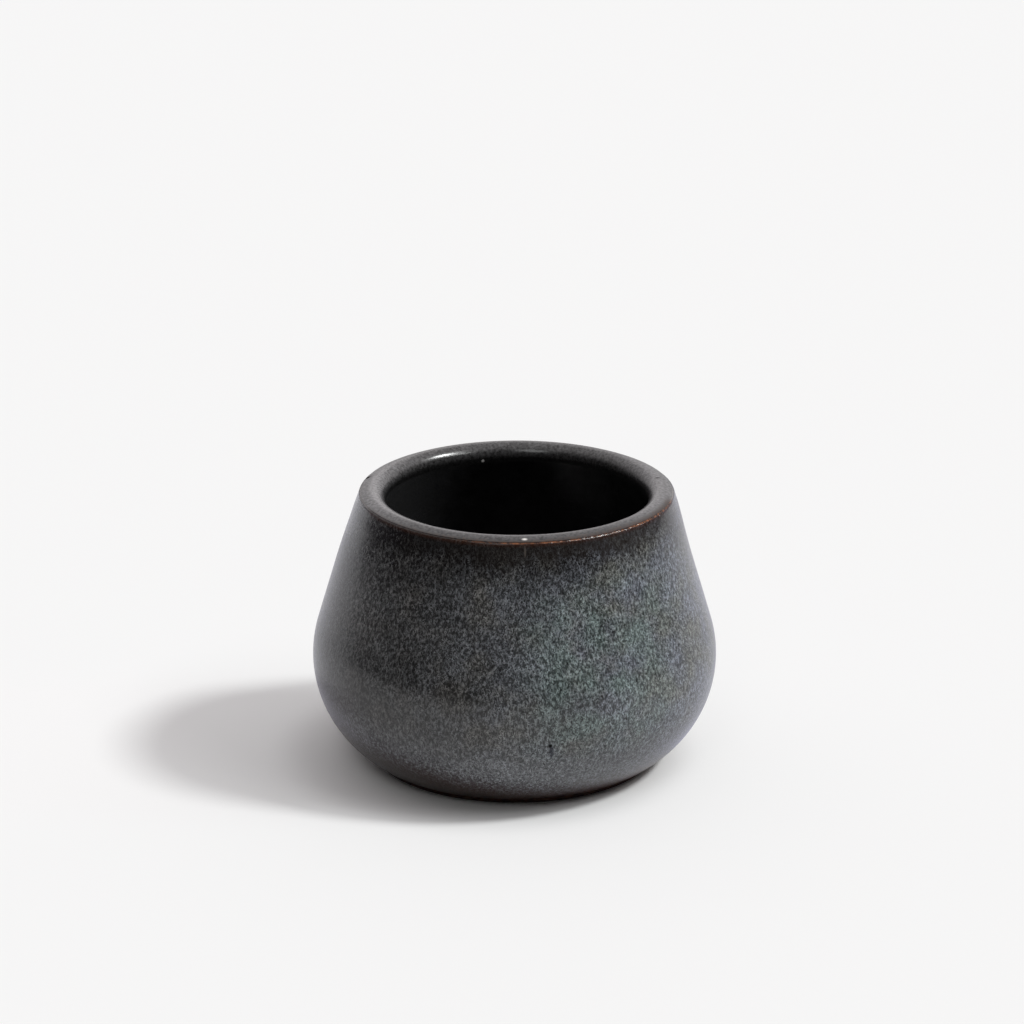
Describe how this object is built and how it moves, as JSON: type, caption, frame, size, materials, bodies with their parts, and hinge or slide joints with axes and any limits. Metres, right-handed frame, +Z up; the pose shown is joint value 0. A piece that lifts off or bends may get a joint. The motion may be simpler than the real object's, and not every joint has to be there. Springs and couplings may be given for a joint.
{
  "type": "coffee cup",
  "caption": "Small handleless stoneware coffee cup with a round belly, a narrower mouth with a rounded lip, speckled grey glaze outside, black glaze inside and a bare foot ring.",
  "frame": {"origin": "middle of the foot ring, on the plane that the cup stands on", "axes": "+Z up along the cup's axis of rotation; X and Y are level, and any turn about Z looks the same"},
  "size_m": [0.08, 0.08, 0.055],
  "materials": {
    "stoneware": "bare fired reddish brown stoneware, matt",
    "speckled_glaze": "satin reactive glaze, grey-green and blue-grey flecks over a dark brown-black ground",
    "grey_glaze": "satin dark grey glaze that breaks to brown at the rim's outer edge",
    "black_glaze": "glossy near-black glaze"
  },
  "bodies": {
    "root": {"stoneware_body": "stoneware", "outer_glaze": "speckled_glaze", "lip_glaze": "grey_glaze", "liner_glaze": "black_glaze"}
  },
  "joints": []
}
